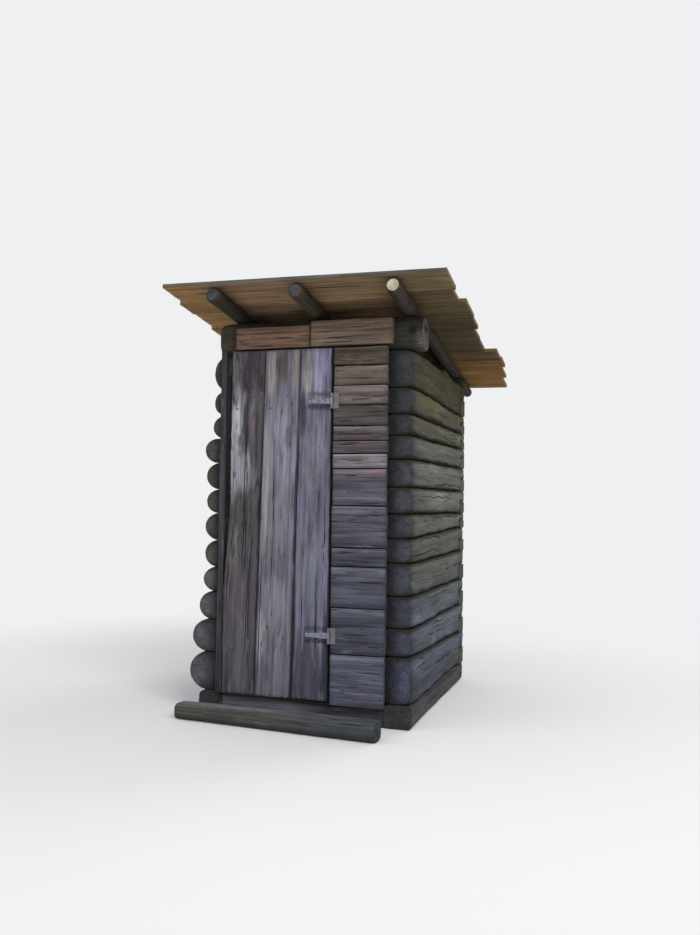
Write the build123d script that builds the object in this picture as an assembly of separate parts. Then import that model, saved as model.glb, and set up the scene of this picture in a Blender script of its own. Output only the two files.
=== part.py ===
from build123d import *
import os
from math import atan, cos, degrees, hypot, pi, sin

os.makedirs("parts", exist_ok=True)

# A small log outhouse with a mono-pitch roof, in millimetres.
# +X is to the right seen from the front, +Y runs to the back, +Z is up.
# The origin is on the ground, under the middle of the roof.

# Plan of the walls
wall_length = 1475
room_width = 928
right_log_width = 155
back_log_width = 150
left_log_widths = (214, 193, 163, 142, 138, 142, 127, 134, 148, 100, 92, 95)

# Overhangs of the roof past the log walls
front_overhang = 326
rear_overhang = 400
left_overhang = 73
right_overhang = 290

# Courses of logs, from the lowest one up, at the front ends and at the back corners
sill_height = 120
right_front_courses = (252, 143, 168, 172, 130, 130, 138, 150, 123, 115, 139, 200)
left_front_courses = (214, 177, 156, 134, 150, 151, 132, 150, 136, 128, 140, 192)
rear_courses = (210, 181, 169, 186, 153, 97, 147, 151, 130, 102, 121, 213)
log_edge_round = 16
sill_edge_round = 26
left_bulge_share = 0.46
left_bulge_limit = 0.6
inner_edge_cut = 12
sill_gap = 2
arris_facets = 3
bulge_facets = 8

# Plates that carry the rafters: flattened logs, thicker at their left ends
front_plate_depth = 180
front_plate_left_height = 194
front_plate_right_height = 184
front_plate_left_bearing = 50
front_plate_right_reach = 34
rear_plate_depth = 140
rear_plate_left_height = 48
rear_plate_right_height = 38
rear_plate_reach = 22
plate_round = 50
rear_plate_round = 12

# Rafters: round poles with their thick ends at the front
rafter_front_diameter = 86
rafter_rear_diameter = 70
rafter_end_inset = 16
left_rafter_inset = 53
middle_rafter_shift = -24.5
right_rafter_reach = 106
seat_depth = 12
seat_clearance = 0.3

# Roof boards, laid across the rafters, and the felt on top of them
roof_board_widths = (253, 173, 260, 197, 220, 220, 179, 179, 262, 258)
roof_board_thickness = 25
roof_board_gap = 4
left_board_insets = (50, 18, 28, 0, 22, 10, 34, 14, 6, 25)
right_board_insets = (66, 83, 44, 52, 75, 80, 8, 0, 25, 55)
felt_thickness = 3
felt_inset = 14

# Front wall: threshold, posts and the boards nailed to them
threshold_depth = 130
threshold_height = 112
threshold_edge_round = 13
post_width = 60
post_depth = 60
infill_log_lap = 13
infill_bottom = 104
infill_board_heights = (270, 243, 217, 100, 222, 196, 79, 69, 79, 111, 106, 106, 100)
infill_gap = 4
lintel_thickness = 32
left_lintel_height = 119
right_lintel_height = 140
lintel_left_inset = 66
lintel_right_reach = 37
lintel_seam_inset = 125
lintel_gap = 3
jamb_width = 34
jamb_thickness = 24

# Door leaf: three planks on two ledges
door_width = 613
door_left_inset = 15
door_height = 1880
door_bottom = 120
door_thickness = 28
door_clearance = 5
door_hinge_gap = 11
door_left_plank_width = 212
door_right_plank_width = 191
door_seam_gap = 5
left_seam_slant = 20
right_seam_slant = 15
door_head_clearance = 9
ledge_height = 105
ledge_thickness = 24
ledge_post_clearance = 13
lower_ledge_rise = 230
upper_ledge_rise = 1540

# Strap hinges
barrel_diameter = 14
pin_diameter = 7
pin_running_clearance = 0.1
knuckle_gap = 1
strap_length = 132
strap_height = 34
strap_tip_height = 18
iron_thickness = 3
leaf_knuckle_height = 24
leaf_width = 38
leaf_slot_clearance = 3
lower_hinge_rise = 346
upper_hinge_rise = 1592

# Floor and step
sleeper_size = 80
sleeper_count = 3
floor_board_thickness = 25
floor_board_count = 6
floor_gap = 4
floor_edge_clearance = 0.3
step_length = 1150
step_left_depth = 88
step_right_depth = 114
step_left_height = 78
step_right_height = 104
step_turn = 4.6
step_left_reach = 169
step_gap = 120
step_edge_round = 30

# Places that follow from the sizes above
left_wall_width = max(left_log_widths)
roof_width = left_overhang + left_wall_width + room_width + right_log_width + right_overhang
roof_depth = front_overhang + wall_length + rear_overhang
front_y = -roof_depth / 2 + front_overhang
rear_y = front_y + wall_length
rear_inner_y = rear_y - back_log_width
left_inner_x = -roof_width / 2 + left_overhang + left_wall_width
right_inner_x = left_inner_x + room_width
right_outer_x = right_inner_x + right_log_width
wall_height = sum(rear_courses)
wall_top = sill_height + wall_height


def levels(courses):
    """Heights of the joints between courses, stretched to the height of the walls."""
    stretch = wall_height / sum(courses)
    heights = [sill_height]
    for course in courses:
        heights.append(heights[-1] + course * stretch)
    return heights


right_levels = levels(right_front_courses)
left_levels = levels(left_front_courses)
rear_levels = levels(rear_courses)
course_count = len(rear_courses)


def across(y):
    """Plane of a section across the building, looking along Y."""
    return Plane(origin=(0, y, 0), x_dir=(1, 0, 0), z_dir=(0, -1, 0))


def along(x):
    """Plane of a section along the building, looking along X."""
    return Plane(origin=(x, 0, 0), x_dir=(0, 1, 0), z_dir=(1, 0, 0))


def block(low, high):
    """A box between two corners."""
    size = [high[i] - low[i] for i in range(3)]
    middle = [(high[i] + low[i]) / 2 for i in range(3)]
    return Pos(*middle) * Box(*size)


def hewn_section(low, high, bottom, top, edge_round):
    """A log hewn flat on all sides, with its arrises taken off in a few axe facets."""
    centres = (
        (high - edge_round, top - edge_round),
        (low + edge_round, top - edge_round),
        (low + edge_round, bottom + edge_round),
        (high - edge_round, bottom + edge_round),
    )
    points = []
    for quarter, (across_at, up_at) in enumerate(centres):
        for facet in range(arris_facets + 1):
            turn = (quarter + facet / arris_facets) * pi / 2
            points.append((across_at + edge_round * cos(turn), up_at + edge_round * sin(turn)))
    return make_face(Polyline(*points, close=True))


def seat_edge(width, height):
    """Outer edge of the flat seat of a left-wall log, where its round face starts."""
    bulge = min(height * left_bulge_share, width * left_bulge_limit)
    return left_inner_x - width + bulge


def round_section(width, bottom, top):
    """A log of the left wall: flat inside and on its seats, faceted round outside."""
    seat = seat_edge(width, top - bottom)
    inner = left_inner_x - inner_edge_cut
    points = [
        (inner, top),
        (left_inner_x, top - inner_edge_cut),
        (left_inner_x, bottom + inner_edge_cut),
        (inner, bottom),
    ]
    half_height = (top - bottom) / 2
    bulge = seat - (left_inner_x - width)
    for facet in range(bulge_facets + 1):
        turn = (facet / bulge_facets - 0.5) * pi
        points.append((seat - bulge * cos(turn), bottom + half_height * (1 + sin(turn))))
    return make_face(Polyline(*points, close=True))


def tapered_log(front_section, rear_section):
    """A side-wall log: it tapers to the back wall and runs level through the corner."""
    shaft = loft([across(front_y) * front_section, across(rear_inner_y) * rear_section], ruled=True)
    corner = extrude(across(rear_inner_y) * rear_section, back_log_width, dir=(0, 1, 0))
    return shaft + corner


def lap_level(course):
    """Height at which the two logs of a course are halved over each other."""
    return (rear_levels[course] + rear_levels[course + 1]) / 2


def write(name, *solids):
    """Write one named piece, or a set of like pieces that do not touch."""
    shape = solids[0] if len(solids) == 1 else Compound(children=list(solids))
    export_step(shape, "parts/" + name + ".step")


def left_log(course):
    """One round log of the left wall, halved at its back corner."""
    width = left_log_widths[course]
    front = round_section(width, left_levels[course], left_levels[course + 1])
    rear = round_section(width, rear_levels[course], rear_levels[course + 1])
    low = (left_inner_x - left_wall_width, rear_inner_y, rear_levels[course])
    high = (left_inner_x, rear_y, lap_level(course))
    return tapered_log(front, rear) - block(low, high)


def right_log(course):
    """One hewn log of the right wall, halved at its back corner."""
    front = hewn_section(
        right_inner_x, right_outer_x, right_levels[course], right_levels[course + 1], log_edge_round
    )
    rear = hewn_section(
        right_inner_x, right_outer_x, rear_levels[course], rear_levels[course + 1], log_edge_round
    )
    low = (right_inner_x, rear_inner_y, rear_levels[course])
    high = (right_outer_x, rear_y, lap_level(course))
    return tapered_log(front, rear) - block(low, high)


def back_log(course):
    """One hewn log of the back wall, halved where it lies under both side walls."""
    left_end = left_inner_x - left_log_widths[course]
    section = hewn_section(
        rear_inner_y, rear_y, rear_levels[course], rear_levels[course + 1], log_edge_round
    )
    log = extrude(along(left_end) * section, right_outer_x - left_end, dir=(1, 0, 0))
    lap = lap_level(course)
    top = rear_levels[course + 1]
    left_half = block((left_end, rear_inner_y, lap), (left_inner_x, rear_y, top))
    right_half = block((right_inner_x, rear_inner_y, lap), (right_outer_x, rear_y, top))
    return log - left_half - right_half


for course in range(course_count):
    number = "%02d" % (course + 1)
    write("left_log_" + number, left_log(course))
    write("right_log_" + number, right_log(course))

write("back_logs_odd", *[back_log(course) for course in range(0, course_count, 2)])
write("back_logs_even", *[back_log(course) for course in range(1, course_count, 2)])


# Sill logs under the three log walls
left_sill_outer_x = seat_edge(left_log_widths[0], left_levels[1] - left_levels[0]) - sill_edge_round
left_sill_section = hewn_section(left_sill_outer_x, left_inner_x, 0, sill_height, sill_edge_round)
right_sill_section = hewn_section(right_inner_x, right_outer_x, 0, sill_height, sill_edge_round)
rear_sill_section = hewn_section(rear_inner_y, rear_y, 0, sill_height, sill_edge_round)
left_sill = extrude(across(front_y) * left_sill_section, wall_length, dir=(0, 1, 0))
right_sill = extrude(across(front_y) * right_sill_section, wall_length, dir=(0, 1, 0))
rear_sill = extrude(
    along(left_inner_x + sill_gap) * rear_sill_section, room_width - 2 * sill_gap, dir=(1, 0, 0)
)
write("sill_logs", left_sill, right_sill, rear_sill)


# Rafters: the plane of the roof rests on the two plates
front_plate_y = front_y + front_plate_depth / 2
rear_plate_y = rear_y - rear_plate_depth / 2
front_plate_height = (front_plate_left_height + front_plate_right_height) / 2
rear_plate_height = (rear_plate_left_height + rear_plate_right_height) / 2
front_bearing = wall_top + front_plate_height - seat_depth + rafter_front_diameter
rear_bearing = wall_top + rear_plate_height - seat_depth + rafter_rear_diameter
roof_fall = (front_bearing - rear_bearing) / (rear_plate_y - front_plate_y)
front_plate_left_x = left_inner_x - front_plate_left_bearing
front_plate_right_x = right_outer_x + front_plate_right_reach
roof_lean = (front_plate_left_height - front_plate_right_height) / (
    front_plate_right_x - front_plate_left_x
)
roof_middle_z = front_bearing + roof_fall * front_plate_y
roof_plane = Plane(origin=(0, 0, roof_middle_z), x_dir=(1, 0, -roof_lean), z_dir=(roof_lean, roof_fall, 1))
roof_run = roof_depth * hypot(1, roof_fall)
roof_span = roof_width * hypot(1, roof_lean)


def rafter(x, clearance):
    """A tapering pole that hangs just under the plane of the roof boards."""
    front_radius = rafter_front_diameter / 2
    rear_radius = rafter_rear_diameter / 2
    half_run = roof_run / 2 - rafter_end_inset
    ends = []
    for place, radius in ((-half_run, front_radius), (half_run, rear_radius)):
        centre = roof_plane * Pos(x, place, -radius - seat_clearance) * Rot(X=90)
        ends.append(centre * Circle(radius + clearance))
    return loft(ends, ruled=True)


left_rafter_x = left_inner_x + left_rafter_inset
right_rafter_x = right_inner_x + right_rafter_reach
middle_rafter_x = (left_rafter_x + right_rafter_x) / 2 + middle_rafter_shift
rafter_places = (left_rafter_x, middle_rafter_x, right_rafter_x)
write("rafters", *[rafter(x, 0) for x in rafter_places])


def plate(left_x, right_x, low_y, high_y, left_height, right_height, edge_round):
    """A flattened log across the building, tapering to the right, with seats for the rafters."""
    left_end = hewn_section(low_y, high_y, wall_top, wall_top + left_height, edge_round)
    right_end = hewn_section(low_y, high_y, wall_top, wall_top + right_height, edge_round)
    log = loft([along(left_x) * left_end, along(right_x) * right_end], ruled=True)
    for x in rafter_places:
        log -= rafter(x, seat_clearance)
    return log


write(
    "front_plate_log",
    plate(
        front_plate_left_x,
        front_plate_right_x,
        front_y,
        front_y + front_plate_depth,
        front_plate_left_height,
        front_plate_right_height,
        plate_round,
    ),
)
write(
    "rear_plate_log",
    plate(
        left_inner_x - left_log_widths[-1] - rear_plate_reach,
        right_outer_x + rear_plate_reach,
        rear_y - rear_plate_depth,
        rear_y,
        rear_plate_left_height,
        rear_plate_right_height,
        rear_plate_round,
    ),
)


# Roof boards across the rafters, of several widths and lengths, and the felt over them
board_stretch = (roof_run + roof_board_gap) / sum(roof_board_widths)


def roof_board(index):
    """One roof board, counted from the front edge."""
    low_x = -roof_span / 2 + left_board_insets[index]
    high_x = roof_span / 2 - right_board_insets[index]
    low_y = -roof_run / 2 + sum(roof_board_widths[:index]) * board_stretch
    high_y = low_y + roof_board_widths[index] * board_stretch - roof_board_gap
    return roof_plane * block((low_x, low_y, 0), (high_x, high_y, roof_board_thickness))


write("roof_boards", *[roof_board(index) for index in range(len(roof_board_widths))])

felt_left_x = -roof_span / 2 + max(left_board_insets) + felt_inset
felt_right_x = roof_span / 2 - max(right_board_insets) - felt_inset
felt_half_run = roof_run / 2 - felt_inset
felt_top = roof_board_thickness + felt_thickness
felt = roof_plane * block(
    (felt_left_x, -felt_half_run, roof_board_thickness), (felt_right_x, felt_half_run, felt_top)
)
write("roof_felt", felt)


# Threshold log and the three posts that stand on it
threshold_section = hewn_section(
    front_y, front_y + threshold_depth, 0, threshold_height, threshold_edge_round
)
threshold = extrude(along(left_inner_x) * threshold_section, room_width, dir=(1, 0, 0))
write("threshold_log", threshold)

door_left_x = left_inner_x + door_left_inset
door_right_x = door_left_x + door_width
infill_left_x = door_right_x + door_hinge_gap
infill_right_x = right_inner_x + infill_log_lap
hinge_x = (door_right_x + infill_left_x) / 2
hinge_post_x = infill_left_x - post_width / 2


def post(left_x):
    """A squared post between the threshold and the front plate."""
    return block(
        (left_x, front_y, threshold_height), (left_x + post_width, front_y + post_depth, wall_top)
    )


write("front_posts", post(left_inner_x), post(hinge_post_x), post(right_inner_x - post_width))


# Short boards right of the door
infill_thickness = door_clearance + door_thickness
infill_top = infill_bottom + sum(infill_board_heights)


def infill_board(index):
    """One infill board, counted from the bottom."""
    bottom = infill_bottom + sum(infill_board_heights[:index])
    top = bottom + infill_board_heights[index] - infill_gap
    return block((infill_left_x, front_y - infill_thickness, bottom), (infill_right_x, front_y, top))


write("infill_boards", *[infill_board(index) for index in range(len(infill_board_heights))])


# Boards over the door, nailed to the front plate
lintel_bottom = door_bottom + door_height + door_head_clearance
lintel_left_x = left_inner_x + lintel_left_inset
lintel_right_x = right_inner_x + lintel_right_reach
lintel_seam = door_right_x - lintel_seam_inset
lintel_front_y = front_y - lintel_thickness
left_lintel = block(
    (lintel_left_x, lintel_front_y, lintel_bottom),
    (lintel_seam - lintel_gap, front_y, lintel_bottom + left_lintel_height),
)
right_lintel = block(
    (lintel_seam, lintel_front_y, lintel_bottom),
    (lintel_right_x, front_y, lintel_bottom + right_lintel_height),
)
write("lintel_boards", left_lintel, right_lintel)

jamb_right_x = door_left_x - door_clearance
jamb = block(
    (jamb_right_x - jamb_width, front_y - jamb_thickness, door_bottom),
    (jamb_right_x, front_y, lintel_bottom - infill_gap),
)
write("jamb_board", jamb)


# Door leaf
door_back_y = front_y - door_clearance
door_front_y = door_back_y - door_thickness
door_top = door_bottom + door_height
left_seam_x = door_left_x + door_left_plank_width
right_seam_x = door_right_x - door_right_plank_width
half_seam = door_seam_gap / 2


def plank(bottom_left_x, top_left_x, top_right_x, bottom_right_x):
    """A door plank from its four corners seen from the front."""
    face = make_face(
        Polyline(
            (bottom_left_x, door_bottom),
            (bottom_right_x, door_bottom),
            (top_right_x, door_top),
            (top_left_x, door_top),
            close=True,
        )
    )
    return extrude(across(door_back_y) * face, door_thickness, dir=(0, -1, 0))


left_seam_bottom = left_seam_x - left_seam_slant
left_seam_top = left_seam_x + left_seam_slant
right_seam_bottom = right_seam_x - right_seam_slant
right_seam_top = right_seam_x + right_seam_slant
left_plank = plank(door_left_x, door_left_x, left_seam_top - half_seam, left_seam_bottom - half_seam)
middle_plank = plank(
    left_seam_bottom + half_seam,
    left_seam_top + half_seam,
    right_seam_top - half_seam,
    right_seam_bottom - half_seam,
)
right_plank = plank(right_seam_bottom + half_seam, right_seam_top + half_seam, door_right_x, door_right_x)
write("door_planks", left_plank, middle_plank, right_plank)

ledge_left_x = left_inner_x + post_width + ledge_post_clearance
ledge_right_x = hinge_post_x - ledge_post_clearance


def ledge(rise):
    """A batten that joins the planks on the inside of the door."""
    bottom = door_bottom + rise
    low = (ledge_left_x, door_back_y, bottom)
    high = (ledge_right_x, door_back_y + ledge_thickness, bottom + ledge_height)
    return block(low, high)


write("door_ledges", ledge(lower_ledge_rise), ledge(upper_ledge_rise))


# Strap hinges: the straps turn with the door, the leaves and pins stay on the infill boards
barrel_radius = barrel_diameter / 2
hinge_y = door_front_y - barrel_radius
leaf_height = strap_height + 2 * (leaf_knuckle_height + knuckle_gap)
hinge_levels = (door_bottom + lower_hinge_rise, door_bottom + upper_hinge_rise)


def strap(level):
    """The strap and middle knuckle of one hinge."""
    outline = make_face(
        Polyline(
            (hinge_x, level - strap_height / 2),
            (hinge_x, level + strap_height / 2),
            (hinge_x - strap_length, level + strap_tip_height / 2),
            (hinge_x - strap_length, level - strap_tip_height / 2),
            close=True,
        )
    )
    iron = extrude(across(door_front_y) * outline, iron_thickness, dir=(0, -1, 0))
    knuckle = Pos(hinge_x, hinge_y, level) * Cylinder(barrel_radius, strap_height)
    bore = Pos(hinge_x, hinge_y, level) * Cylinder(
        pin_diameter / 2 + pin_running_clearance, strap_height
    )
    return iron + knuckle - bore


def leaf(level):
    """The fixed leaf of one hinge, with its two knuckles and the pin through them."""
    pin = Pos(hinge_x, hinge_y, level) * Cylinder(pin_diameter / 2, leaf_height)
    iron = block(
        (hinge_x, door_front_y - iron_thickness, level - leaf_height / 2),
        (hinge_x + leaf_width, door_front_y, level + leaf_height / 2),
    )
    slot_half = strap_height / 2 + knuckle_gap
    slot = block(
        (hinge_x - barrel_radius, hinge_y - barrel_radius, level - slot_half),
        (hinge_x + barrel_radius + leaf_slot_clearance, door_front_y, level + slot_half),
    )
    body = iron - slot
    knuckle_rise = slot_half + leaf_knuckle_height / 2
    for centre in (level - knuckle_rise, level + knuckle_rise):
        body += Pos(hinge_x, hinge_y, centre) * Cylinder(barrel_radius, leaf_knuckle_height)
    return body + pin


write("hinge_straps", *[strap(level) for level in hinge_levels])
write("hinge_leaves", *[leaf(level) for level in hinge_levels])


# Floor boards on three sleepers
floor_front_y = front_y + threshold_depth + floor_edge_clearance
floor_rear_y = rear_inner_y - floor_edge_clearance
sleeper_pitch = (room_width - sleeper_size - 2 * floor_edge_clearance) / (sleeper_count - 1)


def sleeper(index):
    """A squared beam on the ground under the floor."""
    low_x = left_inner_x + floor_edge_clearance + index * sleeper_pitch
    return block((low_x, floor_front_y, 0), (low_x + sleeper_size, floor_rear_y, sleeper_size))


write("floor_sleepers", *[sleeper(index) for index in range(sleeper_count)])

floor_pitch = (floor_rear_y - floor_front_y + floor_gap) / floor_board_count


def floor_board(index):
    """One floor board across the room, counted from the door."""
    low_y = floor_front_y + index * floor_pitch
    low = (left_inner_x + floor_edge_clearance, low_y, sleeper_size)
    high_y = low_y + floor_pitch - floor_gap
    high = (right_inner_x - floor_edge_clearance, high_y, sleeper_size + floor_board_thickness)
    return block(low, high)


write("floor_boards", *[floor_board(index) for index in range(floor_board_count)])


# Step: a tapering hewn log that lies loose on the ground before the door, a little askew
step_left_end = hewn_section(-step_left_depth, 0, 0, step_left_height, step_edge_round)
step_right_end = hewn_section(-step_right_depth, 0, 0, step_right_height, step_edge_round)
step = loft([along(0) * step_left_end, along(step_length) * step_right_end], ruled=True)
step_place = Pos(left_inner_x - step_left_reach, front_y - step_gap, 0)
write("step_log", step_place * Rot(Z=-step_turn) * step)

print("roof slope", round(degrees(atan(roof_fall)), 2), "lean", round(degrees(atan(roof_lean)), 2))
print("roof", round(roof_width), "by", round(roof_depth), "wall top", round(wall_top))
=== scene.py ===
import math

import bpy
import numpy as np
from mathutils import Matrix, Vector


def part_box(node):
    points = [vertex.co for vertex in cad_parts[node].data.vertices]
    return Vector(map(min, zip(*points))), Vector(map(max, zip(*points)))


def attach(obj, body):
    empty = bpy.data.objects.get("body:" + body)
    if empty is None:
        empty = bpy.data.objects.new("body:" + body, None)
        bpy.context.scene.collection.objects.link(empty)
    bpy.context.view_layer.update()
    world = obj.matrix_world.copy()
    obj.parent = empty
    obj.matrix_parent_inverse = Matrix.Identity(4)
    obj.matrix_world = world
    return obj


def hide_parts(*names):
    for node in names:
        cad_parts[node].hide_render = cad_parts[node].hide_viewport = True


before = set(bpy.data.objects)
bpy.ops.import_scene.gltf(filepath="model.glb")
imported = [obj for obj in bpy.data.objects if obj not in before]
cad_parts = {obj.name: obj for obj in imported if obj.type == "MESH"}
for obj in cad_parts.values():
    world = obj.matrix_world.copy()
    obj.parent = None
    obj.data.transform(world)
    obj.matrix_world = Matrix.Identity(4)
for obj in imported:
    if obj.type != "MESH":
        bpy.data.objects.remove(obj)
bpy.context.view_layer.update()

MM = 0.001
X, Y, Z = np.eye(3)


# Smooth noise on arrays of points

NOISE_SIZE = 256
noise_order = np.random.default_rng(7).permutation(NOISE_SIZE)
noise_values = np.random.default_rng(11).uniform(-1, 1, NOISE_SIZE)


def noise(points, seed=0):
    """Smooth value noise between -1 and 1 at an (n, 3) array of points."""
    points = np.asarray(points, float) + seed * 17.31
    cell = np.floor(points).astype(int)
    part = points - cell
    part = part * part * (3 - 2 * part)
    total = np.zeros(len(points))
    for corner in range(8):
        step = (corner & 1, corner >> 1 & 1, corner >> 2 & 1)
        index = 0
        weight = 1
        for axis in range(3):
            index = noise_order[(index + cell[:, axis] + step[axis]) % NOISE_SIZE]
            weight = weight * (part[:, axis] if step[axis] else 1 - part[:, axis])
        total += weight * noise_values[index]
    return total


def rough(points, seed=0, octaves=3):
    """Noise with finer layers added, between about -1 and 1."""
    total = 0
    for octave in range(octaves):
        total = total + noise(np.asarray(points) * 2**octave, seed + octave) / 2**octave
    return total / 1.6


def smooth(value, low, high):
    """0 at low, 1 at high, and a soft step between."""
    share = np.clip((np.asarray(value, float) - low) / (high - low), 0, 1)
    return share * share * (3 - 2 * share)


def spread(l, v, apart=0.0):
    """Places for the noise: along the grain and around it, and apart from those of other pieces."""
    return np.column_stack([l, v, np.full(len(l), apart)])


def between(first, second, share):
    """What lies between two values or rows of values."""
    return first * (1 - share) + second * share


# Colours

def colour(text):
    """A colour written as sRGB hex digits, in linear light."""
    values = [int(text[i:i + 2], 16) / 255 for i in (0, 2, 4)]
    return np.array([c / 12.92 if c <= 0.04045 else ((c + 0.055) / 1.055) ** 2.4 for c in values])


def mixed(first, second, share):
    """Colours between two, by a share for each point. Either may be hex digits."""
    first, second = (colour(tone) if isinstance(tone, str) else np.asarray(tone) for tone in (first, second))
    share = np.clip(np.asarray(share, float), 0, 1)[:, None]
    return between(first, second, share)


def gradient(place, stops):
    """Colours along a row of (place, colour) stops."""
    places = [at for at, _ in stops]
    tones = np.array([colour(text) for _, text in stops])
    return np.stack([np.interp(place, places, tones[:, i]) for i in range(3)], -1)


# The solids of the frame: each node's loose parts, in metres

def solids(node):
    """The vertices of each separate solid of a CAD node, as arrays, sorted along X, Y then Z."""
    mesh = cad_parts[node].data
    places = np.array([v.co for v in mesh.vertices])
    corner = np.unique(np.round(places, 5), axis=0, return_inverse=True)[1].ravel()
    ends = corner[np.array(mesh.edge_keys)]
    owner = np.arange(corner.max() + 1)
    before = None
    while before is None or (owner != before).any():
        before = owner.copy()
        np.minimum.at(owner, ends.ravel(), np.repeat(owner[ends].min(1), 2))
    parts = [places[owner[corner] == label] for label in np.unique(owner)]
    return sorted(parts, key=lambda p: tuple(np.round(p.min(0), 3)))


def extent(points):
    """The lowest and the highest corner of the box round some points."""
    return points.min(0), points.max(0)


def from_below(node):
    """The solids of a node, the lowest first."""
    return sorted(solids(node), key=lambda points: points[:, 2].min())


def levels_at(points, y, reach=0.002):
    """Lowest and highest point of a solid in the section at y."""
    near = points[np.abs(points[:, 1] - y) < reach]
    return near[:, 2].min(), near[:, 2].max()


# Outlines of sections, as closed rings of points that start at the hidden corner

QUARTER = math.pi / 2


def run(start, end, count):
    """Points on a straight side, without its end."""
    t = np.arange(count)[:, None] / count
    return between(np.array(start), np.array(end), t)


def bend(centre, radius_a, radius_b, first, last, count):
    """Points on a part of an ellipse, without its end."""
    turn = first + (last - first) * np.arange(count) / count
    return np.stack([centre[0] + radius_a * np.cos(turn), centre[1] + radius_b * np.sin(turn)], 1)


def squared(a0, a1, b0, b1, counts, deep, low, high=None, corner=3, inner=None):
    """A rounded rectangle: bottom, outer side, top, hidden side.

    The outer corners reach deep inwards from the outer side, and low and high along it."""
    high = low if high is None else high
    inner = low if inner is None else inner
    corners = (
        ((a1 - deep, b0 + low), (deep, low)),
        ((a1 - deep, b1 - high), (deep, high)),
        ((a0 + inner, b1 - inner), (inner, inner)),
        ((a0 + inner, b0 + inner), (inner, inner)),
    )
    points = []
    for i, count in enumerate(counts):
        turn = (i - 1) * QUARTER
        side = [np.array(at) + np.array(radii) * (math.cos(turn), math.sin(turn))
                for at, radii in (corners[i - 1], corners[i])]
        centre, radii = corners[i]
        points += [run(*side, count), bend(centre, *radii, turn, turn + QUARTER, corner)]
    return np.vstack(points)


def half_round(a0, a1, b0, b1, counts, flat=0.0):
    """A log flat on its hidden side and round outside: seat, round face, seat, hidden side."""
    radius_b = (b1 - b0) / 2
    radius_a = min(radius_b, (a1 - a0) * 0.8)
    seat = a1 - radius_a
    return np.vstack([
        run((a0 + flat, b0), (seat, b0), counts[0]),
        bend((seat, (b0 + b1) / 2), radius_a, radius_b, -QUARTER, QUARTER, counts[1]),
        run((seat, b1), (a0 + flat, b1), counts[2]),
        run((a0 + flat, b1), (a0 + flat, b0), counts[3]),
    ])


def arrises(at, seed, phase=0.0, more=0.0):
    """How far a hewn log's lower and upper arris reach at a place along it."""
    low = 17 + 5 * math.sin(at * 9 + seed) + 4 * math.sin(at * 23 + phase) + more
    high = 17 + 5 * math.sin(at * 8 + 2 * seed) + 4 * math.sin(at * 27 - phase) + more
    return low * MM, high * MM


def spaced(start, end, pitch):
    """Stations from start to end, about pitch apart."""
    return np.linspace(start, end, max(2, int(round((end - start) / pitch)) + 1))


# Swept pieces of wood

CAP_SHARES = (0.96, 0.88, 0.76, 0.62, 0.47, 0.32, 0.17, 0.0)
CUT_RELIEF = 1.6 * MM
CUT_BULGE = 1 * MM
VALUES = ("end", "dirt_and_shade", "moss", "split")
FIELDS = {
    "grain": ("FLOAT_VECTOR", "vector"),
    "cut": ("FLOAT_VECTOR", "vector"),
    "tone": ("FLOAT_COLOR", "color"),
    **{name: ("FLOAT", "value") for name in VALUES},
}


def tube(rings):
    """Faces from ring to ring of point numbers."""
    low, high = np.array(rings[:-1]), np.array(rings[1:])
    return np.stack([low, np.roll(low, -1, 1), np.roll(high, -1, 1), high], -1).reshape(-1, 4).tolist()


def lid(ring, centre):
    """Faces from a ring of point numbers to one point."""
    return np.stack([ring, np.roll(ring, -1), np.full(len(ring), centre)], -1).tolist()


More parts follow.
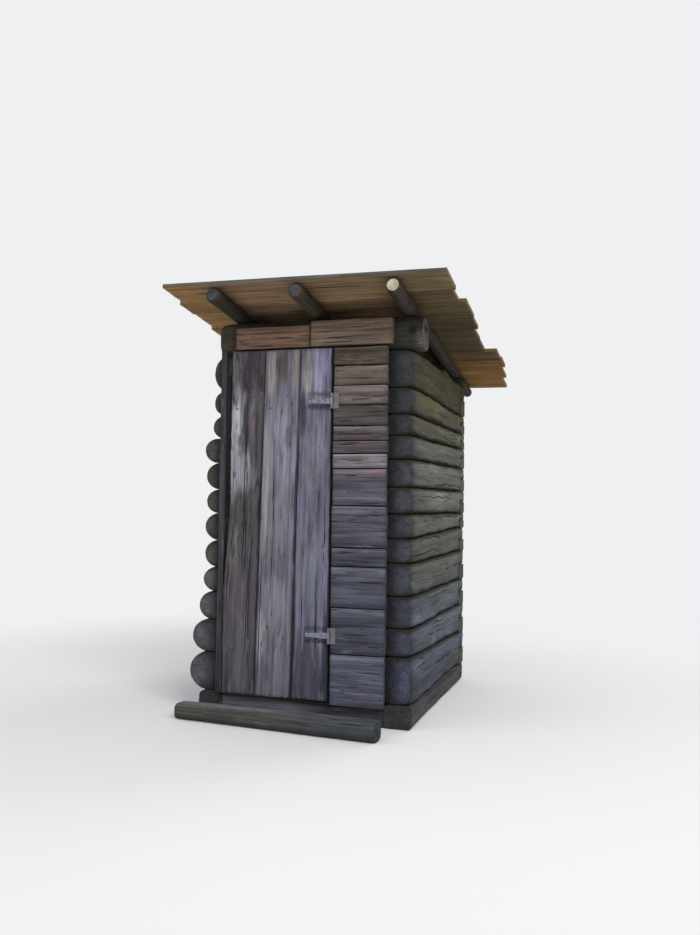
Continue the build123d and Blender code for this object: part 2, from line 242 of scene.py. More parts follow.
class Wood:
    """Collects swept solids in one mesh, with what the wood materials read on each point."""

    def __init__(self):
        self.places = []
        self.faces = []
        self.fields = {name: [] for name in FIELDS}
        self.count = 0

    def add(self, stations, ring, axes, seed, surface, end_tone, end_relief=1.0, end_paint=None):
        """One solid: ring gives the (a, b) points of its outline at a station along the grain.

        axes are the directions of the grain, of a and of b, and the origin. surface(l, v, a, b, normal)
        gives each point's height, dirt and painted shade, moss, split and colour; end_paint(a, b) colours
        the cut ends."""
        along, out, across, origin = (np.array(axis, float) for axis in axes)
        rings = np.array([ring(station) for station in stations])
        rows, columns = rings.shape[:2]
        tangent = np.roll(rings, -1, 1) - np.roll(rings, 1, 1)
        normal = np.stack([tangent[..., 1], -tangent[..., 0]], -1).reshape(-1, 2)
        normal /= np.maximum(np.linalg.norm(normal, axis=-1, keepdims=True), 1e-9)
        halfway = rings[rows // 2]
        step = np.linalg.norm(np.roll(halfway, -1, 0) - halfway, axis=-1)
        around = np.tile(np.cumsum(step) - step, rows)
        l = np.repeat(np.asarray(stations), columns)
        a, b = rings.reshape(-1, 2).T
        height, dirt_and_shade, moss, split, tint = surface(l, around, a, b, normal)
        sides = np.column_stack([l, rings.reshape(-1, 2) + normal * np.asarray(height)[:, None]])
        sheets = [(sides, spread(l, around), np.column_stack([np.zeros(len(l)), dirt_and_shade, moss, split]), tint)]
        numbers = np.arange(rows * columns).reshape(rows, columns)
        faces = tube(numbers)
        total = rows * columns
        for row, sign in ((0, -1), (rows - 1, 1)):
            rim = (sheet[numbers[row]] for sheet in sheets[0][:3])
            cap = self.cut_end(*rim, row, sign * end_relief, seed, end_tone, end_paint)
            sheets.append(cap)
            inner = np.arange(total, total + len(cap[0]))
            total += len(inner)
            chain = [numbers[row], *inner[:-1].reshape(-1, columns)]
            faces += [face[::sign] for face in tube(chain) + lid(chain[-1], inner[-1])]
        points, grain, values, tints = (np.vstack(parts) for parts in zip(*sheets))
        grain[:, 0] += (seed * 7.7) % 53
        grain[:, 2] = (seed * 3.3) % 41
        cut = points - points.mean(0)
        turn = -1 if np.dot(np.cross(along, out), across) < 0 else 1
        self.places.append(points @ np.array([along, out, across]) + origin)
        self.faces += [[i + self.count for i in face[::turn]] for face in faces]
        self.count += total
        for column, name in enumerate(VALUES):
            self.fields[name].append(values[:, column])
        self.fields["grain"].append(grain)
        self.fields["cut"].append(np.column_stack([cut[:, 1:], np.full(total, (seed * 1.9) % 37)]))
        self.fields["tone"].append(np.column_stack([np.clip(tints, 0, 1), np.ones(total)]))

    def cut_end(self, sides, grain, values, row, relief, seed, end_tone, end_paint):
        """Points, grain, values and colours of the rings inside a solid's last ring, down to its middle."""
        columns = len(sides)
        share = np.repeat(CAP_SHARES, columns)[:1 - columns]
        rim = np.resize(np.arange(columns), len(share))
        middle = sides.mean(0)
        points = middle + (sides[rim] - middle) * share[:, None]
        cut = rough(points * 30, seed + 3) * CUT_RELIEF + (1 - share**4) * CUT_BULGE
        points[:, 0] = middle[0] + cut * relief
        values = values[rim] * share[:, None] ** (0, 8, 8, 0)
        values[:, 0] = 1
        values[:, 3] = 0
        mottled = 1 + 0.3 * rough(points * (0, 16, 16) + (row, 0, 0), seed + 8)
        shade = end_paint(points[:, 1], points[:, 2]) if end_paint else np.tile(end_tone, (len(points), 1))
        return points, grain[rim], values, shade * mottled[:, None]

    def make(self, node, material, body="root"):
        """The finished object, which stands for its CAD node and stays inside its box."""
        low, high = (np.array(corner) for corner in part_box(node))
        mesh = bpy.data.meshes.new(node + "_wood")
        mesh.from_pydata(np.clip(np.vstack(self.places), low, high).tolist(), [], self.faces)
        for name, (kind, key) in FIELDS.items():
            data = mesh.attributes.new(name, kind, "POINT").data
            data.foreach_set(key, np.concatenate(self.fields[name]).astype(np.float32).ravel())
        mesh.polygons.foreach_set("use_smooth", [True] * len(mesh.polygons))
        mesh.update()
        piece = linked(mesh, material)
        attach(piece, body)
        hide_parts(node)


def linked(data, material=None):
    """A new object in the scene, named like its mesh, lamp or camera."""
    made = bpy.data.objects.new(data.name, data)
    bpy.context.scene.collection.objects.link(made)
    if material:
        data.materials.append(material)
    return made


def build(node, material, add, *details, parts=None, body="root", **looks):
    """The piece of a CAD node. add puts in each of its solids, with its number and the details."""
    wood = Wood()
    for index, points in enumerate(solids(node) if parts is None else parts):
        add(wood, points, index, *details, **looks)
    wood.make(node, material, body)


def long_splits(l, v, seed, count, span, face, widest):
    """How far each point lies inside one of the long drying splits, 0 to 1."""
    rng = np.random.default_rng(seed)
    start, end = span
    depth = np.zeros(len(l))
    for _ in range(count):
        length = (end - start) * rng.uniform(0.2, 0.7)
        first = start + (end - start - length) * rng.uniform(-0.1, 1.1)
        centre = rng.uniform(*face)
        half = widest * rng.uniform(0.45, 1)
        slant = rng.uniform(-0.02, 0.02)
        path = spread(l * 4, np.full(len(l), rng.uniform(0, 50)))
        middle = centre + slant * (l - first) + 6 * MM * noise(path)
        along = np.clip((l - first) / length, 0, 1)
        taper = np.sqrt(np.clip(4 * along * (1 - along), 0, 1))
        depth = np.maximum(depth, taper * np.exp(-((v - middle) / half) ** 2))
    return depth


# Materials

class Graph:
    """Builds the node tree of a material or world with few words."""

    def __init__(self, owner):
        owner.use_nodes = True
        self.owner = owner
        self.tree = owner.node_tree
        self.tree.nodes.clear()

    def fill(self, socket, value):
        """Links a socket to another one, or sets its value."""
        if isinstance(value, bpy.types.NodeSocket):
            self.tree.links.new(value, socket)
        else:
            socket.default_value = (*value, 1.0) if socket.type == "RGBA" else value

    def node(self, kind, inputs=None, **settings):
        made = self.tree.nodes.new("ShaderNode" + kind)
        for key, value in settings.items():
            setattr(made, key, value)
        for key, value in (inputs or {}).items():
            self.fill(made.inputs[key], value)
        return made

    def attribute(self, name, output="Fac"):
        return self.node("Attribute", attribute_name=name).outputs[output]

    def math(self, operation, a, b=0.0, clamp=False):
        return self.node("Math", {0: a, 1: b}, operation=operation, use_clamp=clamp).outputs[0]

    def plus(self, a, b):
        return self.math("ADD", a, b)

    def times(self, a, b, clamp=False):
        return self.math("MULTIPLY", a, b, clamp)

    def scaled(self, vector, scale):
        scale = scale if isinstance(scale, tuple) else (scale,) * 3
        return self.node("VectorMath", {0: vector, 1: scale}, operation="MULTIPLY").outputs[0]

    def noise(self, vector, scale=None, detail=3.0, roughness=0.55, distortion=0.0):
        inputs = {"Vector": self.scaled(vector, scale) if scale else vector, "Scale": 1.0, "Detail": detail,
                  "Roughness": roughness, "Distortion": distortion}
        return self.node("TexNoise", inputs).outputs["Fac"]

    def ramp(self, value, low, high, from_value=0.0, to_value=1.0):
        return self.node(
            "MapRange",
            {"Value": value, "From Min": low, "From Max": high, "To Min": from_value, "To Max": to_value},
            interpolation_type="SMOOTHSTEP",
        ).outputs["Result"]

    def line(self, field, half):
        """1 along the lines where a noise crosses its middle value, 0 away from them."""
        return self.ramp(self.math("ABSOLUTE", self.math("SUBTRACT", field, 0.5)), 0.0, half, 1.0, 0.0)

    def grey(self, value):
        return self.node("CombineColor", {0: value, 1: value, 2: value}).outputs[0]

    def mix(self, factor, a, b, blend="MIX"):
        return self.node("Mix", {0: factor, 6: a, 7: b}, data_type="RGBA", blend_type=blend).outputs[2]

    def output(self, shader, kind="OutputMaterial"):
        self.tree.links.new(shader, self.node(kind).inputs[0])
        return self.owner

    def finish(self, base, height, distance, roughness, specular=0.25, metallic=0.0):
        bump = self.node("Bump", {"Height": height, "Distance": distance, "Strength": 1.0})
        shader = self.node("BsdfPrincipled", {
            "Base Color": base, "Roughness": roughness, "Normal": bump.outputs[0],
            "Specular IOR Level": specular, "Metallic": metallic,
        })
        return self.output(shader.outputs[0])


def wood_sides(g, tone, silver, cracks, contrast, worn, stain_and_shade, moss_tone):
    """Colour and relief along the grain: streaks, thin dark cracks, silvered patches and moss."""
    grain = g.attribute("grain", "Vector")
    fine = g.noise(grain, (6.0, 230.0, 1.0), detail=4, roughness=0.6)
    streak = g.noise(grain, (2.0, 60.0, 1.0), detail=3, roughness=0.6, distortion=0.4)
    broad = g.noise(grain, (1.3, 13.0, 1.0), detail=3, roughness=0.6)
    patch = g.noise(grain, (5.0, 22.0, 1.0), detail=4, roughness=0.6)
    long_lines = g.noise(grain, (1.7, 34.0, 1.0), detail=2, roughness=0.45, distortion=0.2)
    crack = g.times(g.line(long_lines, 0.014 * cracks + 0.003), g.ramp(patch, 0.42, 0.6))
    light = g.plus(g.ramp(fine, 0.25, 0.75, -0.17 * contrast, 0.17 * contrast),
                   g.ramp(streak, 0.3, 0.7, -0.3 * contrast, 0.26 * contrast))
    light = g.plus(light, g.ramp(broad, 0.3, 0.7, -0.16 * contrast, 0.18 * contrast))
    body = g.mix(1.0, tone, g.grey(g.plus(light, 1.0)), "MULTIPLY")
    body = g.mix(g.ramp(patch, 0.54, 0.74, 0.0, worn), body, colour(silver))
    dark = g.math("MAXIMUM", g.times(crack, 0.8), g.ramp(g.attribute("split"), 0.12, 0.6, 0.0, 0.93))
    body = g.mix(dark, body, colour(stain_and_shade) * 0.6)
    moss = g.times(g.attribute("moss"), g.ramp(patch, 0.35, 0.6), clamp=True)
    body = g.mix(moss, body, colour(moss_tone))
    relief = g.plus(g.times(fine, 0.3), g.times(streak, 0.5))
    return body, g.math("SUBTRACT", relief, g.times(crack, 0.7))


def wood_ends(g, tone, stain_and_shade):
    """Colour and relief of a cut end: year rings and checks that run outwards."""
    cut = g.attribute("cut", "Vector")
    flat_cut = g.node("SeparateXYZ", {0: cut})
    wobble = g.noise(cut, (26.0, 26.0, 1.0), detail=3)
    radius = g.node("VectorMath", {0: g.scaled(cut, (1.0, 1.0, 0.0))}, operation="LENGTH").outputs["Value"]
    ring = g.math("SINE", g.plus(g.times(radius, 560.0), g.times(wobble, 14.0)))
    angle = g.math("ARCTAN2", flat_cut.outputs[0], flat_cut.outputs[1])
    around = g.node("CombineXYZ", {0: g.times(angle, 0.95), 1: g.times(radius, 9.0), 2: flat_cut.outputs[2]})
    rays = g.noise(around.outputs[0], detail=1, roughness=0.5)
    check = g.times(g.line(rays, 0.016), g.ramp(wobble, 0.36, 0.56))
    light = g.plus(g.times(ring, 0.07), g.ramp(wobble, 0.3, 0.7, 0.8, 1.2))
    body = g.mix(1.0, tone, g.grey(light), "MULTIPLY")
    body = g.mix(g.times(check, 0.75), body, colour(stain_and_shade) * 0.4)
    return body, g.math("SUBTRACT", g.times(ring, 0.1), g.times(check, 0.7))


def wood_material(name, silver, cracks=0.6, contrast=1.0, worn=0.4, stain_and_shade="2B2A26", moss_tone="4A4F36"):
    """Weathered wood: its sides, its cut ends, and dirt and painted shade over both."""
    g = Graph(bpy.data.materials.new(name))
    tone = g.attribute("tone", "Color")
    body, relief = wood_sides(g, tone, silver, cracks, contrast, worn, stain_and_shade, moss_tone)
    end_body, end_relief = wood_ends(g, tone, stain_and_shade)
    end = g.ramp(g.attribute("end"), 0.3, 0.7)
    body = g.mix(end, body, end_body)
    # Darkened towards the stain colour by dirt and by painted shade in grooves
    body = g.mix(g.times(g.attribute("dirt_and_shade"), 0.93, clamp=True), body, colour(stain_and_shade))
    relief = g.node("Mix", {0: end, 2: relief, 3: end_relief}, data_type="FLOAT").outputs[0]
    return g.finish(body, relief, 0.0035, 0.88, specular=0.15)


def iron_material(name, zinc):
    """Old strap iron: dull grey zinc with brown stains."""
    g = Graph(bpy.data.materials.new(name))
    place = g.node("TexCoord").outputs["Object"]
    patch = g.noise(place, 38.0, detail=4, roughness=0.65)
    speck = g.noise(place, 300.0, detail=2)
    base = g.mix(g.ramp(patch, 0.5, 0.68, 0.0, 0.7), colour(zinc), colour("5C5150"))
    base = g.mix(g.ramp(speck, 0.45, 0.75, 0.0, 0.3), base, colour("3A3634"))
    height = g.plus(g.times(patch, 0.4), g.times(speck, 0.3))
    return g.finish(base, height, 0.0008, 0.55, specular=0.4, metallic=0.2)


def felt_material():
    """Bitumen felt with mineral grains, dusted with litter."""
    g = Graph(bpy.data.materials.new("roof_felt"))
    place = g.node("TexCoord").outputs["Object"]
    grit = g.noise(place, 500.0, detail=2)
    patch = g.noise(place, 7.0, detail=5, roughness=0.65)
    base = g.mix(g.ramp(patch, 0.25, 0.75), colour("38393C"), colour("4B4A48"))
    base = g.mix(g.ramp(grit, 0.35, 0.7, 0.0, 0.5), base, colour("26262A"))
    litter = g.noise(place, 28.0, detail=5, roughness=0.7)
    base = g.mix(g.ramp(litter, 0.56, 0.66, 0.0, 0.8), base, colour("5C4E38"))
    height = g.plus(g.times(grit, 0.5), g.times(patch, 0.6))
    return g.finish(base, height, 0.0015, 0.9)


old_log = wood_material("old_log", "66635F", contrast=1.1)
hewn_log = wood_material("hewn_log", "6E6E68", cracks=0.8, contrast=0.85, worn=0.15, stain_and_shade="28261E")
grey_board = wood_material("grey_board", "7C7A80", contrast=1.2)
lintel_board = wood_material("lintel_board", "7E6A5C", cracks=0.7, contrast=1.1)
door_wood = wood_material("door_wood", "807E8A", contrast=0.85)
roof_wood = wood_material("roof_wood", "7A6444", cracks=0.5)
pole_wood = wood_material("pole_wood", "4E463A", cracks=0.5)
step_wood = wood_material("step_wood", "6E6C72", cracks=0.9, contrast=1.2, moss_tone="2C3530")
strap_iron = iron_material("strap_iron", "7C7F8E")
leaf_iron = iron_material("leaf_iron", "686870")
nail_iron = iron_material("nail_iron", "4A4542")
felt_finish = felt_material()


# Walls of logs

front_y, rear_y = (corner.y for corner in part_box("right_log_01"))
right_inner_x, right_outer_x = (corner.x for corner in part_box("right_log_01"))
left_inner_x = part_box("left_log_01")[1].x
rear_inner_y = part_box("back_logs_odd")[0].y
wall_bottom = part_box("right_log_01")[0].z
wall_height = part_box("right_log_12")[1].z - wall_bottom
# Distances of the stations along logs, and how far the first and last lie inside a solid or a lap
LOG_PITCH = 13 * MM
BACK_PITCH = 16 * MM
END_INSET = 3 * MM
LAP_INSET = 1 * MM
GROOVE_WIDTH = 26 * MM
GROOVE_SIDES = 9.0
HEWING = 4 * MM
RIDGES = 1.2 * MM
PITS = 2 * MM
LOG_SPLITS = 3
SPLIT_DEPTH = 7 * MM
SKIN_INSET = 3 * MM
# How far the wear of a log's front end and the rounding of its rim reach, and how deep that rim is
END_WEAR = 50 * MM
END_RIM = 6 * MM
RIM_DEPTH = 8 * MM
END_PLACES = np.array([0, 2, 5, 10, 18]) * MM
# In millimetres: where the front ends start, what their wear takes off, and how far the outer corners reach
END_STAGGER = (1, 16)
WEAR_NARROWS = 9
WEAR_ROUNDS = 16
SIDE_CORNER = 44
BACK_CORNER = 40
CORNER_REACH = 60 * MM
CORNER_CUT = 0.7
# Cells round a section: lower seat, outer side, upper seat and hidden side
HEWN_CELLS = (6, 22, 6, 6)
ROUND_CELLS = (5, 30, 5, 6)
BEAM_CELLS = (8, 20, 8, 6)
PLATE_CELLS = (8, 16, 8, 8)
DARK_WOOD = colour("33322E")
DARK_FRONT = colour("303138")
PALE_WOOD = colour("D8D8D4")
DARK_END = colour("191A1E")


def log_surface(seed, height_of, span, face, paint, groove_shade=0.95, crown=7 * MM):
    """The skin of a log: hewing marks, ridges of grain, drying splits, and dirt with painted shade in the
    grooves between logs.

    span holds its first and last station, and face the stretch of its outline that shows."""

    def surface(l, v, a, b, normal):
        at = spread(l, v, seed * 1.7)
        low, high = height_of(l)
        across = np.clip((b - low) / (high - low), 0, 1)
        outside = np.clip(normal[:, 0], 0, 1)
        hewing = HEWING * rough(at * (5, 9, 1), seed)
        ridges = RIDGES * noise(at * (6, 120, 1), seed + 5)
        pits = PITS * np.minimum(0, rough(at * (18, 30, 1), seed + 9) + 0.25)
        split = long_splits(l, v, seed, LOG_SPLITS, span, face, 3.2 * MM)
        # Painted shade, with dirt, in the grooves along the log's lower and upper edges
        beside = spread(l * 5, GROOVE_SIDES * (across > 0.5), seed * 1.7)
        width = GROOVE_WIDTH * (1 + 0.55 * noise(beside, seed + 14))
        dirt_and_shade = groove_shade * smooth(np.minimum(b - low, high - b), width, 0.25 * width)
        height = hewing + ridges + pits - SPLIT_DEPTH * split - SKIN_INSET - crown * (2 * across - 1) ** 4
        moss = 0.4 * np.clip(noise(at * (3, 6, 1), seed + 21), 0, 1)
        return height * outside, dirt_and_shade, moss, split, paint(l, v, across, b, outside)

    return surface


# Tones of the hewn logs up the wall, with painted shade: bluish low down, darkening to olive under the eaves
WALL_TONES = (
    (0.0, "3C3F49"), (0.08, "3B3F4B"), (0.21, "4C525F"), (0.34, "474844"), (0.51, "4C4E48"),
    (0.64, "525555"), (0.75, "4A4A41"), (0.89, "40381F"), (0.97, "34311B"),
)


def hewn_paint(seed, start, end):
    """Hewn logs: bluish low down and dark olive under the eaves, as painted shade; worn and stained patches.
    """
    rng = np.random.default_rng(seed + 400)
    strength = rng.uniform(0.9, 1.12)
    warmth = rng.uniform(-1, 1) * np.array([0.04, 0.0, -0.05])
    dark_length = rng.uniform(25, 75) * MM

    def paint(l, v, across, b, outside):
        at = spread(l, v, seed * 2.1)
        base = gradient((b - wall_bottom) / wall_height, WALL_TONES) * strength * (1 + warmth)
        worn = smooth(rough(at * (2.2, 9, 1), seed + 3), 0.1, 0.7)
        base = base * (1 + 0.4 * worn)[:, None] + 0.05 * worn[:, None] * PALE_WOOD
        base = mixed(base, DARK_WOOD, 0.6 * smooth(rough(at * (3.5, 14, 1), seed + 6), 0.1, 0.7))
        # Darker near the front end
        front_darkening = np.exp(-(l - start) * (1 + 0.5 * noise(at * (0, 25, 1), seed + 9)) / dark_length)
        base = mixed(base, DARK_FRONT, 0.85 * front_darkening)
        # Painted light: lighter on each log's upper side, darker on its lower side, and lighter towards the
        # rear
        lit = 1 + 0.5 * (across - 0.45) * outside + 0.2 * (l - start) / (end - start)
        return base * lit[:, None]

    return paint


LEFT_TONES = ((0.0, "46454B"), (0.5, "4A4845"), (1.0, "44413C"))
# Colours of the logs' cut front ends up the wall: weathered end grain, darkened further as painted shade
LEFT_ENDS = ((0.0, "4E4C55"), (0.25, "5B565A"), (0.4, "45423F"), (1.0, "423F3C"))
RIGHT_ENDS = ((0.0, "404352"), (0.5, "3F4048"), (1.0, "35373A"))


def round_paint(seed):
    """Round logs: dark brownish grey with a few lighter patches."""
    strength = np.random.default_rng(seed).uniform(0.85, 1.2)

    def paint(l, v, across, b, outside):
        at = spread(l, v, seed * 2.1)
        base = gradient((b - wall_bottom) / wall_height, LEFT_TONES) * strength
        return mixed(base, "7A766E", 0.6 * smooth(rough(at * (3, 8, 1), seed + 3), 0.1, 0.8))

    return paint


def side_log(wood, points, index, seed, outward, round_face, end_tone):
    """A log of a side wall, halved over the back wall's log at its rear corner."""
    inner = left_inner_x if outward[0] < 0 else right_inner_x
    reach = np.abs(points[:, 0] - inner).max()
    front = levels_at(points, front_y)
    lap, rear_top = levels_at(points, rear_y)
    rear_bottom = levels_at(points, rear_inner_y)[0]
    rng = np.random.default_rng(seed)
    start = front_y + rng.uniform(*END_STAGGER) * MM
    stations = np.concatenate([
        start + END_PLACES[:-1],
        spaced(start + END_PLACES[-1], rear_inner_y - LAP_INSET, LOG_PITCH),
        spaced(rear_inner_y + LAP_INSET, rear_y - LAP_INSET, LOG_PITCH),
    ])
    phase = rng.uniform(0, 9)

    def height_of(l):
        t = np.clip((l - front_y) / (rear_inner_y - front_y), 0, 1)
        bottom = np.where(l > rear_inner_y, lap, between(front[0], rear_bottom, t))
        return bottom, between(front[1], rear_top, t)

    def ring(y):
        bottom, top = height_of(y)
        nearness = math.exp(-(y - start) / END_WEAR)
        rim = math.exp(-(y - start) / END_RIM) * RIM_DEPTH
        outer = reach - 2 * MM - nearness * WEAR_NARROWS * MM - rim + 3 * MM * math.sin(y * 4 + phase)
        if round_face:
            return half_round(0, outer, bottom + rim, top - rim, ROUND_CELLS, flat=rim)
        low, high = arrises(y, seed, phase, WEAR_ROUNDS * nearness)
        corner = 1 - CORNER_CUT * smooth(y, rear_inner_y - CORNER_REACH, rear_inner_y)
        return squared(rim, outer, bottom + rim, top - rim, HEWN_CELLS,
                       (SIDE_CORNER + 4 * nearness) * corner * MM, low * corner, high * corner, corner=6,
                       inner=(7 + 14 * nearness) * MM)

    face = (reach * 0.7, reach + front[1] - front[0])
    paint = round_paint(seed) if round_face else hewn_paint(seed, start, rear_y)

    # Painted shade on the cut end, darkest on its inner side next to the door and the front boards. The end
    # is also darker towards its top and bottom.
    def end_paint(a, b):
        level = np.clip((b - front[0]) / (front[1] - front[0]), 0, 1)
        shade = mixed(end_tone, DARK_END, 0.8 * smooth(a, 0.65 * reach, 0.15 * reach))
        return mixed(shade, DARK_END, 0.8 * (2 * level - 1) ** 4)

    surface = log_surface(seed, height_of, (start, rear_y), face, paint)
    wood.add(stations, ring, (Y, outward, Z, (inner, 0, 0)), seed, surface, end_tone, 2.5, end_paint)


for number in range(1, 13):
    vary = np.random.default_rng(number)
    left_end = gradient([number / 12], LEFT_ENDS)[0] * vary.uniform(0.8, 1.25)
    right_end = gradient([number / 12], RIGHT_ENDS)[0] * vary.uniform(0.8, 1.2)
    build("left_log_%02d" % number, old_log, side_log, 100 + number, -X, True, left_end)
    build("right_log_%02d" % number, hewn_log, side_log, 200 + number, X, False, right_end)


def back_log(wood, points, index, seed):
    """A log of the back wall, halved under the side walls' logs at both ends."""
    seed += 2 * index
    low, high = extent(points)
    x = points[:, 0]
    top = points[(x > left_inner_x - 2 * MM) & (x < right_inner_x + 2 * MM)][:, 2].max()
    lap = points[x > right_outer_x - 1 * MM][:, 2].max()
    depth = rear_y - rear_inner_y
    joints = (low[0], left_inner_x, right_inner_x, high[0])
    stations = np.concatenate([spaced(a + LAP_INSET, b - LAP_INSET, BACK_PITCH)
                               for a, b in zip(joints, joints[1:])])

    def height_of(l):
        inside = (l > left_inner_x) & (l < right_inner_x)
        return low[2], np.where(inside, top, lap)

    def ring(x):
        corner = 1 - CORNER_CUT * smooth(min(x - left_inner_x, right_inner_x - x), CORNER_REACH, 0)
        low_arris, high_arris = arrises(x, seed)
        wave = 2.5 * MM * math.sin(x * 5 + seed)
        return squared(0, depth - 4 * MM + wave, *height_of(x), HEWN_CELLS, BACK_CORNER * corner * MM,
                       low_arris * corner, high_arris * corner, corner=6, inner=7 * MM)

    span = (low[0], high[0])
    face = (depth * 0.7, depth + top - low[2])
    surface = log_surface(seed, height_of, span, face, hewn_paint(seed, *span))
    end_tone = colour("45443F") * np.random.default_rng(seed).uniform(0.8, 1.15)
    wood.add(stations, ring, (X, Y, Z, (0, rear_inner_y, 0)), seed, surface, end_tone, end_relief=2)


for shift, node in enumerate(("back_logs_odd", "back_logs_even")):
    build(node, hewn_log, back_log, 300 + shift, parts=from_below(node))


# Boards and beams: plain squared pieces

def plain_paint(text, seed, vary):
    """One colour with soft changes along the grain."""

    def paint(l, v, a, b, normal):
        at = spread(l, v, seed * 1.9)
        change = vary * noise(at * (2, 5, 1), seed + 2) + vary * rough(at * (5, 24, 1), seed)
        return colour(text) * (1 + change)[:, None]

    return paint


def plain_surface(seed, splits, span, face, paint, relief=1.0, edge_dirt=0.0):
    """The skin of a sawn board: ridges of grain, splits, and dirt towards its ends."""

    def surface(l, v, a, b, normal):
        at = spread(l, v, seed * 1.3)
        ridges = 0.9 * MM * relief * noise(at * (5, 140, 1), seed + 5)
        waves = 1.2 * MM * relief * rough(at * (4, 12, 1), seed)
        split = long_splits(l, v, seed, splits, span, face, 2.6 * MM)
        near_end = np.clip(1 - np.minimum(l - span[0], span[1] - l) / (25 * MM), 0, 1)
        height = (ridges + waves - 1.2 * MM * relief) * np.abs(normal[:, 0]) - 5 * MM * split
        return height, edge_dirt * near_end**2, np.zeros(len(l)), split, paint(l, v, a, b, normal)

    return surface


class Stick:
    """How a squared solid lies: its span along the grain, its depth outwards and its levels across."""

    def __init__(self, points, grain_axis, out):
        low, high = extent(points)
        out_axis = int(np.argmax(np.abs(out)))
        across_axis = ({0, 1, 2} - {grain_axis, out_axis}).pop()
        origin = np.zeros(3)
        origin[out_axis] = low[out_axis] if out[out_axis] > 0 else high[out_axis]
        self.span = low[grain_axis], high[grain_axis]
        self.depth = high[out_axis] - low[out_axis]
        self.levels = low[across_axis], high[across_axis]
        self.width = high[across_axis] - low[across_axis]
        self.face = self.depth, self.depth + self.width
        self.axes = (np.eye(3)[grain_axis], out, np.eye(3)[across_axis], origin)


def board(wood, points, grain_axis, out, seed, paint, end_tone, cell=8 * MM, pitch=12 * MM, edge=2.5 * MM,
          splits=1, ragged=3 * MM, **looks):
    """A squared board that fills a solid's box, its grain along one axis and its good face towards out."""
    stick = Stick(points, grain_axis, out)
    rng = np.random.default_rng(seed)
    start, end = stick.span
    cells = [max(4, int(stick.width / size)) for size in (cell, 2 * cell)]
    stations = spaced(start + rng.uniform(0.5 * MM, ragged), end - rng.uniform(0.5 * MM, ragged), pitch)

    def ring(s):
        wobble = 1.2 * MM * math.sin(s * 9 + seed)
        low = stick.levels[0] + 0.5 * MM + abs(wobble) * 0.5
        high = stick.levels[1] - 0.5 * MM + min(0, wobble)
        return squared(0, stick.depth, low, high, (3, cells[0], 3, cells[1]), edge, edge)

    surface = plain_surface(seed, splits, stick.span, stick.face, paint, **looks)
    wood.add(stations, ring, stick.axes, seed, surface, colour(end_tone), end_relief=0.4)


def plain_board(wood, points, index, grain_axis, out, seed, tones, end_tone, tone_seed=0, vary=0.14,
                **looks):
    """One of a node's boards of nearly one colour."""
    paint = plain_paint(tones[index % len(tones)], tone_seed + index, vary)
    board(wood, points, grain_axis, out, seed + index, paint, end_tone, **looks)


# Short boards right of the door: each has painted light along its upper edge and painted shadow along its
# lower one
INFILL_TONES = ((0.0, "585B6C"), (0.25, "585A69"), (0.55, "595864"), (0.75, "625B5D"), (1.0, "5C5248"))
REDDER = np.array([1.12, 0.9, 0.88])
INFILL_LIGHT = (0.85, 0.56, 0.7, 0.66, 0.76, 0.87, 1.45, 0.68, 0.95, 0.6, 1.1, 0.95, 0.7)


def infill_paint(index, low, high):
    seed = 500 + index

    def paint(l, v, a, b, normal):
        at = spread(l, b, seed * 1.9)
        across = (b - low) / (high - low)
        base = gradient((b - wall_bottom) / wall_height, INFILL_TONES) * INFILL_LIGHT[index]
        # Painted light along the upper edge and painted shadow along the lower edge
        edge_light = 1 + 0.6 * smooth(across, 0.78, 0.97) - 0.4 * smooth(across, 0.25, 0.02)
        patches = 1 + 0.32 * rough(at * (5, 26, 1), seed)
        base = mixed(base, base * REDDER, smooth(rough(at * (7, 9, 1), seed + 4), 0, 0.6))
        return base * (edge_light * patches)[:, None]

    return paint


def infill_board(wood, points, index):
    paint = infill_paint(index, points[:, 2].min(), points[:, 2].max())
    board(wood, points, 0, -Y, 500 + index, paint, "4A484A", cell=5 * MM, pitch=8 * MM, edge=4 * MM,
          splits=2, ragged=5 * MM, edge_dirt=0.5, relief=1.6)


build("infill_boards", grey_board, infill_board, parts=from_below("infill_boards"))
build("lintel_boards", lintel_board, plain_board, 0, -Y, 540, ("6C5547", "67594E"), "6A5646", tone_seed=5,
      vary=0.22, cell=5 * MM, edge=4 * MM, splits=3, edge_dirt=0.5, relief=1.6)
# The jamb board is painted dark, as the shade in the gap between the log ends and the door
build("jamb_board", grey_board, plain_board, 2, -Y, 560, ("3E3D42",), "3A393C", tone_seed=3)
build("front_posts", grey_board, plain_board, 2, -Y, 570, ("2E2C2B",), "3A3632", pitch=30 * MM)


def beam(wood, points, index, grain_axis, out, seed, tone, edge, shade=None):
    """A hewn log or thick plank: squared, with worn arrises. shade darkens it along the grain."""
    seed += index
    stick = Stick(points, grain_axis, out)
    span = stick.span[0] + END_INSET, stick.span[1] - END_INSET
    even = plain_paint(tone, seed, 0.25)

    def ring(s):
        wave = 2 * MM * math.sin(s * 5 + seed)
        arris = edge + 3 * MM * math.sin(s * 8 + seed)
        outer = stick.depth - END_INSET + wave
        return squared(0, outer, *stick.levels, BEAM_CELLS, arris, arris, corner=4)

    def height_of(l):
        return stick.levels

    def paint(l, v, across, b, outside):
        tones = even(l, v, across, b, outside)
        return tones if shade is None else tones * np.interp(l, *shade)[:, None]

    surface = log_surface(seed, height_of, span, stick.face, paint, groove_shade=0.5, crown=3 * MM)
    stations = spaced(*span, BACK_PITCH)
    wood.add(stations, ring, stick.axes, seed, surface, colour(tone) * 0.8, end_relief=1.2)


# Sill logs: dark weathered wood, darkened further as painted shade under the walls
def sill(wood, points, index):
    width, length = np.ptp(points, axis=0)[:2]
    side = -X if points[:, 0].mean() < 0 else X
    beam(wood, points, index, int(length > width), side if length > width else Y, 600, "3C3E40", 24 * MM)


